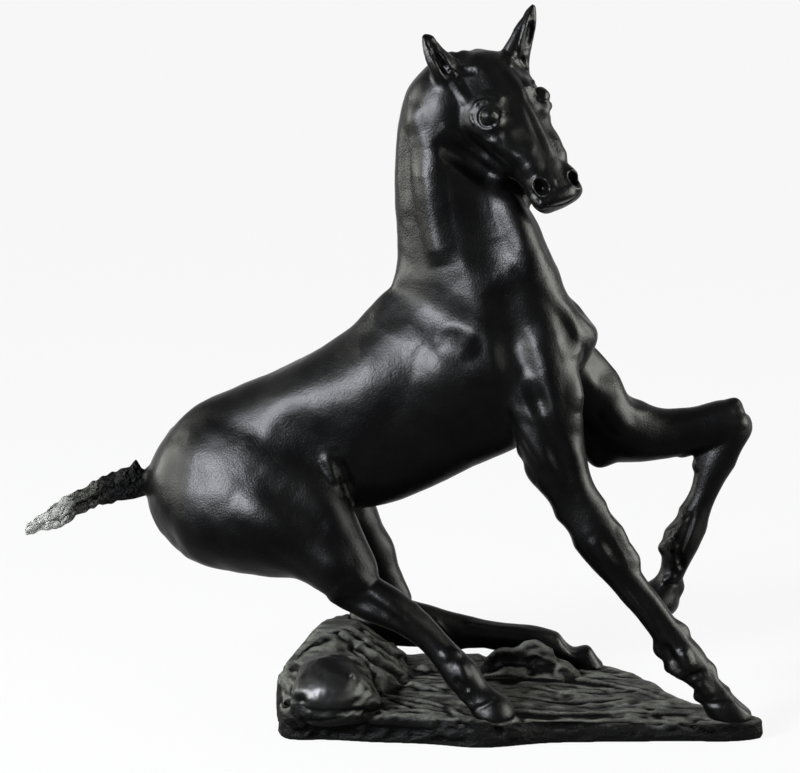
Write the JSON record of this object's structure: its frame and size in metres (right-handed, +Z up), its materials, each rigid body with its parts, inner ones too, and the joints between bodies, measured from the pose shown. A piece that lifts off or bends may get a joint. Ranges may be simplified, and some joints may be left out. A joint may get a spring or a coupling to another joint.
{
  "type": "horse statuette",
  "caption": "Cast bronze statuette of a foal that rises from a rocky ground, in pinned sections bolted to a hollow rock base.",
  "frame": {"origin": "on the surface it stands on, under the middle of the whole figure", "axes": "+X from the tail to the point of the base, +Y to the foal's left side, +Z up"},
  "size_m": [0.4429, 0.1494, 0.4293],
  "materials": {
    "foal_patina": "near-black satin patina over bronze, worn paler on its ridges",
    "ground_patina": "dusty green-grey patina over bronze, darker where it is rubbed",
    "pin_bronze": "bare turned bronze",
    "stud_steel": "turned steel",
    "nut_brass": "machined brass"
  },
  "bodies": {
    "root": {"base_casting": "ground_patina", "hindquarters_casting": "foal_patina", "forehand_casting": "foal_patina", "neck_casting": "foal_patina", "head_casting": "foal_patina", "right_ear": "foal_patina", "left_ear": "foal_patina", "tail_casting": "foal_patina", "right_foreleg": "foal_patina", "left_foreleg": "foal_patina", "right_hindleg": "foal_patina", "left_hindleg": "foal_patina", "body_joint_pins": "pin_bronze", "leg_joint_pins": "pin_bronze", "ear_and_tail_pins": "pin_bronze", "core_plugs": "pin_bronze", "hoof_studs": "stud_steel", "stud_washers": "stud_steel", "stud_nuts": "nut_brass"}
  },
  "joints": []
}
